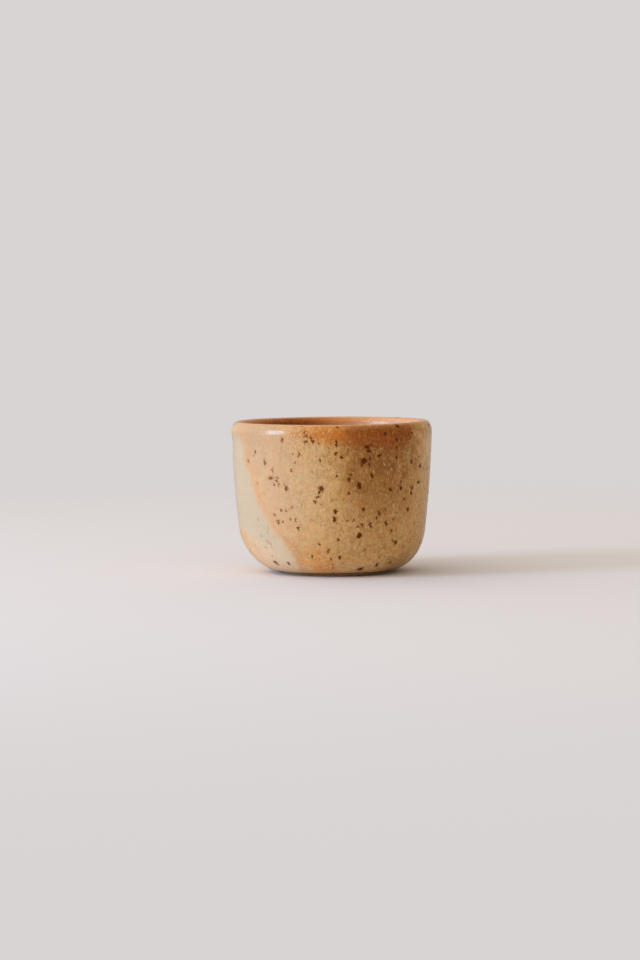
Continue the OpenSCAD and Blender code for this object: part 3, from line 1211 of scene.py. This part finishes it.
# Its soft patches, in the same order
LINER_PATCHES = [
    # Dark at the back's left: partly the liner's colour, partly painted shade where the left wall
    # hides the window.
    (LINER_DARK_AND_SHADE, 0.95, -152, 38, 42, 18),
    # Pale at the back's right: partly the liner's colour, partly painted light and a painted
    # reflection of the window.
    (LINER_PALE_AND_LIT, 0.8, 130, 40, 50, 18),
    (LINER_LIGHT, 0.40, 0, 24, 60, 14),
]

rust_liner, tree, surface, place, side, height = new_finish("rust_liner_glaze", 0.36)
grain = use(tree, grain_group, Place=place, Grain_size=0.7, Patch_size=3.5)
medium = use(tree, speck_group, Place=place, Spacing=3.4, Smallest=0.1, Largest=0.6, Ragged=0.5)
fine = use(tree, speck_group, Place=place, Spacing=1.3, Smallest=0.05, Largest=0.2, Ragged=0.25)
colour = tint(tree, LINER, LINER_LIGHT, grain["Grain"], 0.45)
colour = tint(tree, colour, LINER_POOL, grain["Patch"], 0.35)
colour = tint(tree, colour, LINER_POOL, fade(tree, height, 12.0, 4.0, 0.0, 0.8))
colour = tint(tree, colour, LINER_LIGHT, fade(tree, height, 40.0, 44.0, 0.0, 0.4))
colour = patched(tree, colour, side, height, LINER_PATCHES)
# The liner's crest too: thin glaze, and painted light from above.
thin = fade(tree, height, 44.6, 45.1)
colour = tint(tree, colour, CREST, thin, without(tree, grain["Grain"], grain_on_crest))
broken = fade(tree, cloud(tree, place, 1.3, 4.0, 0.7, swirl=0.5), 0.42, 0.62)
colour = tint(tree, colour, LINER, broken, fade(tree, height, 41.5, 44.0, 0.0, 0.5))
colour = tint(tree, colour, RUST, medium["Halo"], 0.4)
colour = tint(tree, colour, IRON, calc(tree, "MAXIMUM", medium["Core"], fine["Core"]), 0.7)
feed(tree, surface["Base Color"], colour)
feed(tree, surface["Roughness"], scaled(tree, medium["Core"], 0.1, 0.24))
relief = scaled(tree, grain["Grain"], 0.3, product(tree, medium["Core"], -0.8))
add_relief(tree, surface, relief, 0.25, 0.05)
print("material:", rust_liner.name, "with", len(tree.nodes), "nodes")

# %% [markdown]
# ## Bare clay
# The foot has no glaze. Fired stoneware is matt and sandy, buff with the same iron specks, and
# toasted to a darker brown next to the edge of the glaze.

# %% Material: bare clay
BUFF = srgb(186, 142, 98)
BUFF_PALE = srgb(208, 170, 126)
TOAST = srgb(140, 86, 46)

bare_clay, tree, surface, place, side, height = new_finish("bare_stoneware", 0.36)
grain = use(tree, grain_group, Place=place, Grain_size=0.35, Patch_size=2.0)
fine = use(tree, speck_group, Place=place, Spacing=1.1, Smallest=0.06, Largest=0.3, Ragged=0.3)
colour = tint(tree, BUFF, BUFF_PALE, grain["Grain"])
colour = tint(tree, colour, TOAST, fade(tree, height, 0.4, 1.3, 0.0, 0.8))
colour = tint(tree, colour, IRON, fine["Core"], 0.8)
feed(tree, surface["Base Color"], colour)
feed(tree, surface["Roughness"], scaled(tree, grain["Patch"], 0.1, 0.78))
add_relief(tree, surface, grain["Grain"], 0.5, 0.08)
print("material:", bare_clay.name, "with", len(tree.nodes), "nodes")

# %% [markdown]
# ## Seating the pieces
# Each piece stands for one solid, which is hidden, moves with the cup's only body, and takes its
# material.

# %% Seat the pieces
for piece, material, node, slot in (
        (thrown_clay, bare_clay, "clay_body", "clay"),
        (outside_glaze, oatmeal, "outer_glaze", "outer_glaze"),
        (inside_glaze, rust_liner, "liner_glaze", "liner_glaze")):
    piece.data.materials.append(material)
    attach(piece, "root")
    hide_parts(node)
    print(piece.name, "stands for", node)

# %% [markdown]
# ## View
# Plain colours need Blender's Standard view.

# %% View
bpy.context.scene.view_settings.view_transform = "Standard"
